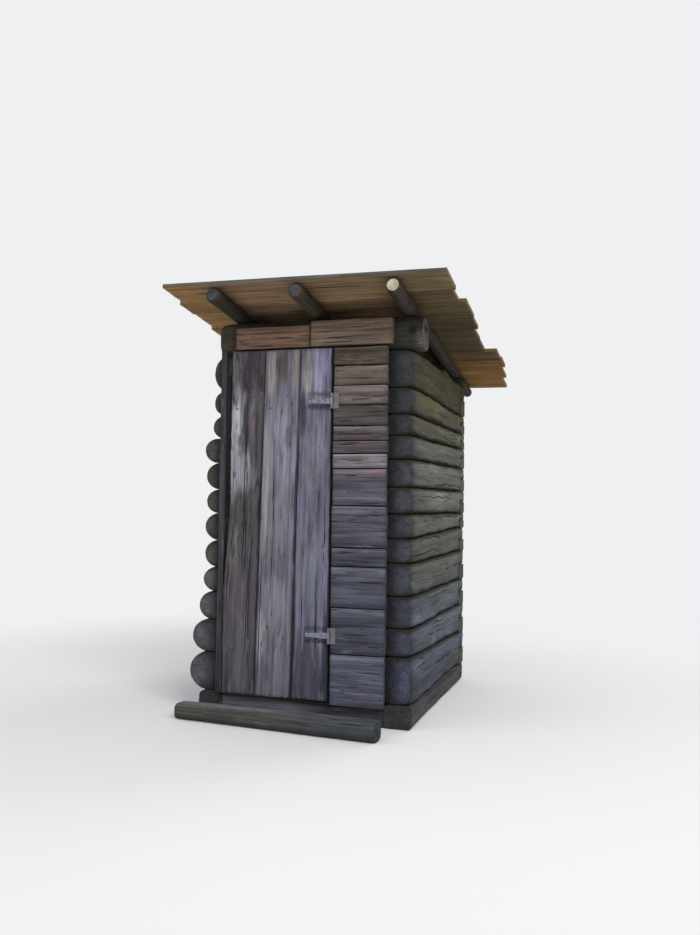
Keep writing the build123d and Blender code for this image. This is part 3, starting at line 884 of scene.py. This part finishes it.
# The threshold is darker from the right part of the door on
THRESHOLD_SHADE = ((-0.12, 0.06), (1.0, 0.35))
build("sill_logs", old_log, sill)
build("threshold_log", old_log, beam, 0, -Y, 610, "64636B", 12 * MM, THRESHOLD_SHADE)


# Plates: flattened logs that taper to the right
PLATE_ROUNDING = 0.27
ROUNDING_LIMIT = 50 * MM
PLATE_REACH = 30 * MM


def plate(wood, points, index, seed, outer, paint, end_paint):
    """A plate log with the round ends that stick out of the walls."""
    low, high = extent(points)
    left = points[points[:, 0] < low[0] + 2 * MM][:, 2].max() - low[2]
    right = points[points[:, 0] > high[0] - 2 * MM][:, 2].max() - low[2]
    stations = spaced(low[0] + END_INSET, high[0] - END_INSET, LOG_PITCH)
    depth = high[1] - low[1]
    rounding = min(PLATE_ROUNDING * min(left, right), ROUNDING_LIMIT)

    def height_of(l):
        t = (l - low[0]) / (high[0] - low[0])
        return low[2], low[2] + left * (1 - t) + right * t

    def ring(x):
        bottom, top = height_of(x)
        nearness = math.exp(-min(x - low[0], high[0] - x) / PLATE_REACH)
        corner = rounding * (1 + 0.35 * nearness)
        inset = nearness * 6 * MM
        return squared(inset, depth - END_INSET - inset, bottom + inset, top - inset, PLATE_CELLS,
                       corner, corner, corner=7)

    surface = log_surface(seed, height_of, (low[0], high[0]), (0.05, 0.3), paint, groove_shade=0.2)
    axes = (X, outer * Y, Z, (0, high[1] if outer < 0 else low[1], 0))
    wood.add(stations, ring, axes, seed, surface, DARK_WOOD, 2, end_paint)


plate_low, plate_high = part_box("front_plate_log")
# A dark knot and a pale patch on its face, in metres
PLATE_KNOT = (0.519, 2.079)
PLATE_PALE = (0.562, 2.019)
# A hollow in its cut end, in parts of its depth and height
PLATE_HOLLOW = (0.52, 0.61)
HOLE_HALF = 19 * MM


def plate_end(a, b):
    """Grey cut end, darker towards the back, with one dark hollow."""
    across = a / (plate_high.y - plate_low.y)
    level = (b - plate_low.z) / (plate_high.z - plate_low.z)
    shade = np.tile(colour("54514A"), (len(a), 1))
    shade = mixed(shade, "302C22", 0.75 * smooth(across, 0.42, 0.1))
    wander = 7 * MM * rough(spread(a, b) * 32, 37)
    distance = np.hypot(0.11 * (across - PLATE_HOLLOW[0]), 0.18 * (level - PLATE_HOLLOW[1])) + wander
    return mixed(shade, "1B1912", smooth(distance, 1.5 * HOLE_HALF, 0.7 * HOLE_HALF))


def plate_paint(l, v, across, b, outside):
    at = spread(l, v)
    base = mixed("33312D", "463B34", smooth(l, plate_low.x + 120 * MM, plate_low.x + 40 * MM))
    base = base * (1 + 0.35 * rough(at * (4, 12, 1), 31))[:, None]
    return mixed(base, "5A574F", 0.6 * smooth(rough(at * (5, 10, 1), 33), 0.3, 0.8))


def front_plate_paint(l, v, across, b, outside):
    """The plate's own tones with a dark knot and a pale patch near its right end."""
    base = plate_paint(l, v, across, b, outside)
    at = spread(l, b)
    pale = np.exp(-((l - PLATE_PALE[0]) / 0.02) ** 2 - ((b - PLATE_PALE[1]) / 0.03) ** 2)
    base = mixed(base, "6B675B", 0.75 * pale)
    distance = np.hypot(l - PLATE_KNOT[0], b - PLATE_KNOT[1]) + 7 * MM * rough(at * 32, 35)
    return mixed(base, "1C1714", 0.95 * smooth(distance, 1.5 * HOLE_HALF, 0.6 * HOLE_HALF))


build("front_plate_log", hewn_log, plate, 620, -1, front_plate_paint, plate_end)
build("rear_plate_log", hewn_log, plate, 630, 1, plate_paint, None)


# Door planks and ledges
door_low, door_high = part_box("door_planks")
door_width = door_high.x - door_low.x
door_height = door_high.z - door_low.z
strap_parts = sorted(solids("hinge_straps"), key=lambda p: p[:, 2].min())
WORN_EDGE = 31 * MM
SEAM_FILL = 2 * MM
PLANK_CELLS = (3, 44, 3, 16)
PLANK_CORNER = 7 * MM
PLANK_ARRIS = 4.5 * MM
DOOR_TONES = ("4E4A4F", "686671", "656475")
DOOR_SPLITS = (9, 4, 4)
DOOR_ENDS = "4A484C"
# Colour of the painted shade along the planks' edges; lighter, it also colours the flaked patches
SEAM_DARK = colour("25252C")
DOOR_FLAKES = (0.75, 0.12, 0.25)


def spot(u, w, centre, size, seed):
    """Share of a soft patch on the door, in parts of its width and height, that frays along the grain."""
    distance = np.hypot((u - centre[0]) / size[0], (w - centre[1]) / size[1])
    at = spread(u, w, seed * 3.1)
    fray = 0.5 * rough(at * (48, 5, 1), seed) + 0.35 * rough(at * (20, 17, 1), seed + 1)
    return smooth(distance + fray, 1.3, 0.55)


# Patches on each plank: colour, middle and half size in parts of the door's width and height, strength
DOOR_PATCHES = (
    (
        ("3F373B", (0.27, 0.93), (0.12, 0.09), 0.8),
        ("6E6566", (0.06, 0.95), (0.05, 0.05), 0.7),
        ("7F8286", (0.115, 0.80), (0.07, 0.085), 0.9),
        ("BFC5C8", (0.10, 0.80), (0.03, 0.05), 0.75),
        ("9C999F", (0.085, 0.70), (0.05, 0.11), 0.85),
        ("918D96", (0.17, 0.645), (0.09, 0.06), 0.8),
        ("37323A", (0.20, 0.80), (0.03, 0.06), 0.9),
        ("5E575B", (0.28, 0.80), (0.05, 0.08), 0.6),
        ("343033", (0.30, 0.77), (0.02, 0.09), 0.8),
        ("403E3C", (0.16, 0.46), (0.12, 0.13), 0.5),
        ("5C594F", (0.10, 0.42), (0.05, 0.07), 0.6),
        ("38353C", (0.22, 0.38), (0.05, 0.06), 0.7),
        ("535059", (0.15, 0.12), (0.10, 0.07), 0.6),
    ),
    (
        ("928684", (0.435, 0.94), (0.035, 0.08), 0.9),
        ("8E847D", (0.655, 0.94), (0.028, 0.08), 0.85),
        ("453C39", (0.53, 0.95), (0.06, 0.05), 0.8),
        ("838290", (0.52, 0.72), (0.16, 0.12), 0.7),
        ("85837E", (0.40, 0.60), (0.03, 0.20), 0.7),
        ("787684", (0.55, 0.52), (0.10, 0.12), 0.5),
        ("55535C", (0.60, 0.745), (0.03, 0.03), 0.7),
        ("4A4953", (0.66, 0.56), (0.03, 0.05), 0.7),
        ("96979C", (0.37, 0.175), (0.05, 0.07), 0.85),
        ("858590", (0.50, 0.27), (0.10, 0.07), 0.7),
        ("4B4850", (0.44, 0.07), (0.03, 0.03), 0.7),
        ("5C5A66", (0.55, 0.06), (0.12, 0.05), 0.4),
    ),
    (
        ("8A879D", (0.90, 0.94), (0.07, 0.08), 0.9),
        ("8A877D", (0.77, 0.92), (0.05, 0.06), 0.8),
        ("36353C", (0.735, 0.81), (0.035, 0.06), 0.85),
        ("75737C", (0.86, 0.72), (0.06, 0.07), 0.6),
        ("78787F", (0.79, 0.63), (0.05, 0.05), 0.6),
        ("2A292F", (0.70, 0.66), (0.015, 0.05), 0.9),
        ("787785", (0.83, 0.42), (0.09, 0.07), 0.6),
        ("70757D", (0.80, 0.32), (0.07, 0.05), 0.5),
        ("474853", (0.84, 0.07), (0.2, 0.12), 0.95),
        ("343540", (0.97, 0.12), (0.03, 0.14), 0.8),
    ),
)


def door_paint(index, seed, sides):
    """Colours of one door plank: streaks, its patches, painted shade along its edges, and painted shadow
    lines round the straps.

    sides gives the places of its two edges at a height."""

    def paint(l, v, a, b, normal):
        u = (b - door_low.x) / door_width
        w = (l - door_low.z) / door_height
        at = spread(l, b, seed * 1.9)
        streaks = 0.2 * rough(at * (2.2, 46, 1), seed) + 0.16 * noise(at * (1.2, 18, 1), seed + 7)
        streaks += 0.24 * rough(at * (9, 34, 1), seed + 11)
        base = colour(DOOR_TONES[index]) * (1 + streaks)[:, None]
        for number, (text, centre, size, strength) in enumerate(DOOR_PATCHES[index]):
            share = strength * spot(u, w, centre, size, seed + number)
            base = mixed(base, colour(text) * (1 + 0.6 * streaks)[:, None], share)
        flaked = smooth(rough(at * (13, 46, 1), seed + 21), 0.05, 0.4) * smooth(w, 0.2, 0.5)
        base = mixed(base, 1.5 * SEAM_DARK, flaked * DOOR_FLAKES[index])
        # Painted shadows of the straps: a dark line just under each and a fainter one above, along the strap
        for strap in strap_parts:
            low, high = extent(strap)
            beside = smooth(b, low[0] - 12 * MM, low[0] + 2 * MM)
            below = smooth(np.abs(l - low[2] + 14 * MM), 16 * MM, 9 * MM)
            above = smooth(np.abs(l - high[2] - 20 * MM), 14 * MM, 8 * MM) * 0.6
            base = mixed(base, "2B2C36", 0.85 * beside * np.maximum(below, above))
        # Painted shade along the plank's edges, in the seams and at the door's sides: wider low down on the
        # two right planks and fainter near the top
        left, right = sides(l)
        near_seam = np.minimum(b - left, right - b) + 2.5 * MM * noise(at * (14, 0, 1), seed + 5)
        wide = (7 + 7 * (index > 0) * smooth(w, 0.45, 0.3)) * MM
        seam = 0.85 - 0.4 * smooth(w, 0.62, 0.8)
        return mixed(base, SEAM_DARK, seam * smooth(near_seam, wide, 0.2 * wide))

    return paint


def door_plank(wood, points, index):
    """A plank that narrows upwards. The first one has a worn left edge, and the seams are filled."""
    low, high = extent(points)
    bottom = extent(points[points[:, 2] < low[2] + 1 * MM])
    top = extent(points[points[:, 2] > high[2] - 1 * MM])
    width, depth, height = high - low
    seed = 700 + index

    def sides(z):
        t = (z - low[2]) / height
        return [between(bottom[side][0], top[side][0], t) for side in (0, 1)]

    stations = spaced(low[2] + 2 * MM, high[2] - 2 * MM, 11 * MM)

    def ring(z):
        left, right = sides(z)
        ragged = 1.5 * MM * math.sin(z * 31 + seed) * math.sin(z * 9.3)
        worn = float(WORN_EDGE * smooth((z - low[2]) / height, 0.27, 0.55))
        left += worn + abs(ragged) * 2 if index == 0 else -SEAM_FILL
        right += -1 * MM if index == 2 else SEAM_FILL
        right += min(0, ragged)
        return squared(0, depth - 1 * MM, left, right, PLANK_CELLS, PLANK_CORNER, PLANK_ARRIS, corner=4,
                       inner=2 * MM)

    surface = plain_surface(seed, DOOR_SPLITS[index], (low[2], high[2]), (depth * 0.8, depth + width),
                            door_paint(index, seed, sides), relief=1.9, edge_dirt=0.5)
    wood.add(stations, ring, (Z, -Y, X, (0, high[1], 0)), seed, surface, colour(DOOR_ENDS), end_relief=0.4)


build("door_planks", door_wood, door_plank, body="door")
build("door_ledges", grey_board, plain_board, 0, Y, 720, ("625B54",), "625B54", body="door")


# Nail and screw heads: share of the radius, and how far out of the face in millimetres
HEAD_PROFILE = ((1.0, -4.0), (1.0, 0.3), (0.82, 1.0), (0.45, 1.3))
HEAD_CROWN = 1.4
HEAD_SIDES = 12
NAIL_RADIUS = 4.5 * MM
SCREW_RADIUS = 3.5 * MM
NAIL_INSET = 22 * MM
LEDGE_NAILS = (0.3, 0.7)
STRAP_SCREWS = (0.12, 0.4, 0.68)


def heads(name, places, radius, body):
    """Round heads on faces that look to the front."""
    turns = np.arange(HEAD_SIDES)[:, None] * 2 * math.pi / HEAD_SIDES
    rim = np.cos(turns) * X + np.sin(turns) * Z
    rings = [radius * share * rim - out * MM * Y for share, out in HEAD_PROFILE]
    head = np.vstack(rings + [-HEAD_CROWN * MM * Y])
    crown = len(head) - 1
    numbers = np.arange(crown).reshape(-1, HEAD_SIDES)
    faces = [list(range(HEAD_SIDES))[::-1]] + tube(numbers) + lid(numbers[-1], crown)
    mesh = bpy.data.meshes.new(name)
    mesh.from_pydata(np.vstack([place + head for place in places]).tolist(), [],
                     [[i + n * len(head) for i in face] for n in range(len(places)) for face in faces])
    piece = linked(mesh, nail_iron)
    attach(piece, body)


def nailed_ends(node, seed):
    """Places of the nails at both ends of level boards: two in a wide board and one in a narrow one."""
    rng = np.random.default_rng(seed)
    places = []
    for points in solids(node):
        low, high = extent(points)
        shares = (0.24, 0.76) if high[2] - low[2] > 100 * MM else (0.5,)
        for x in (low[0] + NAIL_INSET, high[0] - NAIL_INSET):
            for share in shares:
                level = low[2] + share * (high[2] - low[2])
                places.append(np.array([x, low[1], level]) + np.insert(rng.uniform(-4, 4, 2), 1, 0) * MM)
    return places


def door_nails():
    """Two nails in each plank at each ledge."""
    for ledge in solids("door_ledges"):
        for points in solids("door_planks"):
            low, high = extent(points)
            for share in LEDGE_NAILS:
                level = ledge[:, 2].mean() + (share - 0.5) * 160 * MM
                yield np.array([low[0] + share * (high[0] - low[0]), low[1], level])


def strap_screws():
    """Three screws in the long plate of each strap."""
    for points in solids("hinge_straps"):
        low, high = extent(points)
        plate_face = points[points[:, 0] < low[0] + 2 * MM][:, 1].min()
        for share in STRAP_SCREWS:
            yield np.array([low[0] + share * (high[0] - low[0]), plate_face, (low[2] + high[2]) / 2])


board_nails = nailed_ends("infill_boards", 71) + nailed_ends("lintel_boards", 72)
heads("front_board_nails", board_nails, NAIL_RADIUS, "root")
heads("door_nails", list(door_nails()), NAIL_RADIUS, "door")
heads("strap_screws", list(strap_screws()), SCREW_RADIUS, "door")


# Roof: boards, rafters and felt lie in the tilted plane of the roof
felt_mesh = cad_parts["roof_felt"].data
felt_face = max(felt_mesh.polygons, key=lambda p: p.normal.z * p.area)
roof_up = np.array(felt_face.normal)
roof_right = np.cross(Y, roof_up)
roof_right /= np.linalg.norm(roof_right)
roof_back = np.cross(roof_up, roof_right)
roof_base = np.stack([roof_right, roof_back, roof_up])
# Undersides of the roof boards from the front eave to the back one
UNDER_MIDDLE = ((0.0, "7A6047"), (0.12, "997E65"), (0.3, "9A7C5D"), (1.0, "947758"))
# The right part is darker in its middle rows as a painted shadow
UNDER_RIGHT = (
    (0.0, "806D4E"), (0.2, "564A35"), (0.42, "4A4030"), (0.6, "554630"), (0.78, "7A5A2E"), (1.0, "805E30"),
)
# The left overhang is lighter as painted light
UNDER_LEFT_LIT = colour("95744A")
ROOF_PITCH = 20 * MM
ROOF_CELLS = (4, 26, 4, 14)
BOARD_EDGE = ((-0.82, "66573F"), (-0.64, "62584A"), (-0.6, "5B574F"), (0.8, "504C46"))


def roof_paint(index, seed, rise):
    """Brown underneath, with painted shadow and light; more orange at the rear right, grey on top and along
    the front edge.
    """
    strength = np.random.default_rng(seed).uniform(0.9, 1.1)

    def paint(l, v, a, b, normal):
        at = spread(l, b, seed * 1.9)
        place = np.full(len(l), rise)
        under = mixed(gradient(place, UNDER_MIDDLE), gradient(place, UNDER_RIGHT), smooth(l, 0.25, 0.45))
        under = mixed(under, UNDER_LEFT_LIT, smooth(l, -0.5, -0.72)) * strength
        grey = gradient(l, BOARD_EDGE)
        share = smooth(-normal[:, 0], 0.2, 0.8)
        if index == 0:
            share = np.maximum(share, smooth(-normal[:, 1], 0.2, 0.8))
        base = mixed(under, grey, share)
        return base * (1 + 0.26 * rough(at * (3, 30, 1), seed))[:, None]

    return paint


def along_roof(node, axis):
    """The solids of a node in the roof's own directions, in their order along one of them."""
    return sorted((points @ roof_base.T for points in solids(node)), key=lambda local: local[:, axis].min())


roof_parts = along_roof("roof_boards", 1)
roof_start = min(local[:, 1].min() for local in roof_parts)
roof_end = max(local[:, 1].max() for local in roof_parts)


def roof_board(wood, local, index):
    low, high = extent(local)
    width, depth = high[1] - low[1], high[2] - low[2]
    seed = 800 + index
    stations = spaced(low[0] + END_INSET, high[0] - END_INSET, ROOF_PITCH)
    rise = ((low[1] + high[1]) / 2 - roof_start) / (roof_end - roof_start)
    paint = roof_paint(index, seed, rise)
    surface = plain_surface(seed, 2, (low[0], high[0]), (depth, depth + width), paint, relief=1.2)

    def ring(s):
        return squared(0, depth, low[1] + 0.5 * MM, high[1] - 0.5 * MM, ROOF_CELLS, 3 * MM, 3 * MM)

    axes = (roof_right, -roof_up, roof_back, roof_up * high[2])
    wood.add(stations, ring, axes, seed, surface, colour("6E5A42"), end_relief=0.5)


# Colours of the rafters' cut front ends: the third pale as painted sunlight, the other two dark bluish grey
# as painted shade
POLE_ENDS_LIT_AND_SHADED = ("3D4248", "45454A", "B5A998")
POLE_PLACES = np.array([0, 3, 8, 16, 28]) * MM
POLE_PITCH = 16 * MM
POLE_ROUNDING = 9 * MM
ROUNDING_REACH = 7 * MM
POLE_SIDES = 32


def pole(wood, local, index):
    """A round rafter, thinner towards the back, with a rounded front end."""
    low, high = extent(local)
    front_radius = np.ptp(local[local[:, 1] < low[1] + 2 * MM][:, 2]) / 2
    back_radius = np.ptp(local[local[:, 1] > high[1] - 2 * MM][:, 2]) / 2
    middle_x = (low[0] + high[0]) / 2
    start = low[1] + 2 * MM
    places = spaced(start + POLE_PLACES[-1], high[1] - 2 * MM, POLE_PITCH)
    stations = np.concatenate([start + POLE_PLACES[:-1], places])
    seed = 850 + index

    def ring(s):
        t = (s - low[1]) / (high[1] - low[1])
        full = between(front_radius, back_radius, t) - 1 * MM
        radius = full - POLE_ROUNDING * math.exp(-(s - start) / ROUNDING_REACH)
        centre = (middle_x, high[2] - full - 1 * MM)
        return bend(centre, radius, radius, QUARTER, 5 * QUARTER, POLE_SIDES)

    def surface(l, v, a, b, normal):
        at = spread(l, v, seed)
        knots = 3 * MM * smooth(noise(at * (5, 14, 1), seed), 0.4, 0.9)
        height = knots + 0.8 * MM * noise(at * (4, 90, 1), seed + 3) - 1.2 * MM
        base = colour("3A342C") * (1 + 0.3 * rough(at * (2, 12, 1), seed))[:, None]
        none = np.zeros(len(l))
        return height, none, none, none, base

    axes = (roof_back, roof_right, roof_up, (0, 0, 0))
    wood.add(stations, ring, axes, seed, surface, colour(POLE_ENDS_LIT_AND_SHADED[index]))


build("roof_boards", roof_wood, roof_board, parts=roof_parts)
build("rafters", pole_wood, pole, parts=along_roof("rafters", 0))


STEP_PITCH = 12 * MM
STEP_CELLS = (8, 10, 16, 6)
STEP_REACH = 15 * MM
STEP_ROUNDING = 0.34
STEP_SHADE = ((0.0, 0.5, 0.65, 1.0), (1.2, 0.93, 0.48, 0.42))
# Colours of the step's front face along it, darker and bluer than its top as painted shade
STEP_FRONT_SHADE = ((0.0, "4F483D"), (0.5, "4D4845"), (0.7, "424346"), (1.0, "3D444C"))


def step_log(wood, points, index):
    """The log askew in front of the door, thicker at its right end."""
    centred = points[:, :2] - points[:, :2].mean(0)
    lengthwise = np.linalg.svd(centred, full_matrices=False)[2][0]
    lengthwise *= np.sign(lengthwise[0])
    ends = [points[(centred @ lengthwise > 0) == side] for side in (False, True)]
    feet = [end[end[:, 2] < 1 * MM] for end in ends]
    back = [foot[foot[:, 1].argmax()] for foot in feet]
    along = (back[1] - back[0]) / np.linalg.norm(back[1] - back[0])
    out = np.cross(along, Z)
    start = (points @ along).min() + END_INSET
    end = (points @ along).max() - END_INSET
    back_face = (points @ out).min()
    left, right = (np.array([(part @ out).max() - back_face, part[:, 2].max()]) for part in ends)

    def ring(s):
        depth, height = between(left, right, (s - start) / (end - start))
        worn = 5 * MM * math.exp(-min(s - start, end - s) / STEP_REACH)
        wave = 2 * MM * math.sin(s * 6)
        rounding = STEP_ROUNDING * height
        return squared(0, depth - 3 * MM + wave - worn, 0, height - worn, STEP_CELLS, rounding, rounding,
                       corner=9)

    def surface(l, v, a, b, normal):
        at = spread(l, v, 4.0)
        split = long_splits(l, v, 900, 5, (start, end), (right[0], right[0] * 2 + 0.1), 3.5 * MM)
        front = smooth(normal[:, 0], -0.1, 0.75)
        moss = np.clip(front * (0.35 + 0.5 * noise(at * (3, 8, 1), 4)), 0, 1)
        relief = 2.2 * MM * rough(at * (6, 14, 1), 3) + 1 * MM * noise(at * (5, 120, 1), 8)
        share = (l - start) / (end - start)
        top = mixed(colour("66656C"), "7B7A80", smooth(rough(at * (4, 20, 1), 6), -0.2, 0.6))
        top *= np.interp(share, *STEP_SHADE)[:, None]
        # The front face takes the darker colours, as painted shade
        base = mixed(top, gradient(share, STEP_FRONT_SHADE), 0.85 * front)
        # Painted shade low down, where the log meets the ground
        low_shade = smooth(b, 45 * MM, 10 * MM)
        return relief - 6 * MM * split - 2 * MM, 0.6 * low_shade, moss, split, base

    axes = (along, out, Z, out * back_face)
    wood.add(spaced(start, end, STEP_PITCH), ring, axes, 900, surface, colour("353A41"), end_relief=2)


build("step_log", step_wood, step_log)


# Floor
build("floor_boards", grey_board, plain_board, 0, Z, 950, ("6A5E50",), "6A5E50",
      cell=16 * MM, pitch=30 * MM)
build("floor_sleepers", grey_board, plain_board, 1, Z, 960, ("4A453F",), "4A453F",
      cell=20 * MM, pitch=60 * MM)


# Carried-over nodes: irons and felt
FINISHES = {"hinge_straps": strap_iron, "hinge_leaves": leaf_iron, "roof_felt": felt_finish}
for node, material in FINISHES.items():
    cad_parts[node].data.materials.clear()
    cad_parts[node].data.materials.append(material)


# Stage: a pale floor that keeps the shadow and runs out into the background
BACKGROUND = (0.86, 0.87, 0.88)


def seen_directly(graph):
    """1 for rays from the camera, or seen in gloss and glass, else 0."""
    path = graph.node("LightPath")
    seen = graph.plus(path.outputs["Is Camera Ray"], path.outputs["Is Glossy Ray"])
    return graph.math("ADD", seen, path.outputs["Is Transmission Ray"], clamp=True)


def floor_material():
    """Pale and matt near the hut, and as bright as the background further out."""
    g = Graph(bpy.data.materials.new("pale_floor"))
    place = g.node("TexCoord").outputs["Object"]
    away = g.node("VectorMath", {0: place}, operation="LENGTH").outputs["Value"]
    far = g.times(g.ramp(away, 1.9, 4.6), seen_directly(g))
    diffuse = g.node("BsdfDiffuse", {"Color": (0.77, 0.77, 0.76)})
    glow = g.node("Emission", {"Color": BACKGROUND, "Strength": 1.0})
    both = g.node("MixShader", {0: far, 1: diffuse.outputs[0], 2: glow.outputs[0]})
    return g.output(both.outputs[0])


FLOOR_RADIUS = 40.0
FLOOR_SIDES = 96
floor_mesh = bpy.data.meshes.new("floor")
turns = [2 * math.pi * i / FLOOR_SIDES for i in range(FLOOR_SIDES)]
floor_ring = [(FLOOR_RADIUS * math.cos(turn), FLOOR_RADIUS * math.sin(turn), 0) for turn in turns]
floor_mesh.from_pydata(floor_ring, [], [tuple(range(FLOOR_SIDES))])
linked(floor_mesh, floor_material())

SKY_COLOUR = (0.93, 0.96, 1.0)
SKY_STRENGTH = 0.75
bpy.context.scene.world = bpy.data.worlds.new("studio")
world_graph = Graph(bpy.context.scene.world)
sky = world_graph.node("Background", {"Color": SKY_COLOUR, "Strength": SKY_STRENGTH})
backdrop = world_graph.node("Background", {"Color": BACKGROUND, "Strength": 1.0})
seen = seen_directly(world_graph)
blend = world_graph.node("MixShader", {0: seen, 1: sky.outputs[0], 2: backdrop.outputs[0]})
world_graph.output(blend.outputs[0], "OutputWorld")


def area_light(name, place, target, size, power, tint):
    """A soft square lamp aimed at a point."""
    data = bpy.data.lights.new(name, "AREA")
    data.shape = "SQUARE"
    data.size = size
    data.energy = power
    data.color = tint
    lamp = linked(data)
    lamp.location = place
    lamp.rotation_euler = (Vector(target) - Vector(place)).to_track_quat("-Z", "Y").to_euler()


area_light("key", (5.5, -6.5, 7.0), (0, 0, 1.0), 4.5, 520, (1.0, 0.97, 0.92))
area_light("fill", (-7.0, -5.5, 4.0), (0, 0, 1.0), 5.0, 110, (0.9, 0.94, 1.0))
area_light("back", (4.0, 7.0, 6.0), (0, 0, 1.2), 4.0, 230, (1.0, 0.95, 0.88))


# Camera: where the photograph was taken from, worked out from the edges of walls, door and roof
IMAGE_HEIGHT = 935
FOCAL_PIXELS = 882.4
CAMERA_PLACE = (1.589, -5.254, 1.153)
CAMERA_YAW = math.radians(17.39)
CAMERA_PITCH = math.radians(2.49)
CAMERA_ROLL = math.radians(0.798)
SENSOR = 36.0

camera_data = bpy.data.cameras.new("camera")
camera_data.sensor_fit = "VERTICAL"
camera_data.sensor_height = SENSOR
camera_data.lens = FOCAL_PIXELS / IMAGE_HEIGHT * SENSOR
camera = linked(camera_data)
camera.matrix_world = Matrix.Translation(CAMERA_PLACE)
for angle, axis in ((CAMERA_YAW, "Z"), (QUARTER + CAMERA_PITCH, "X"), (CAMERA_ROLL, "Z")):
    camera.matrix_world = camera.matrix_world @ Matrix.Rotation(angle, 4, axis)
bpy.context.scene.camera = camera

bpy.context.scene.view_settings.view_transform = "Standard"
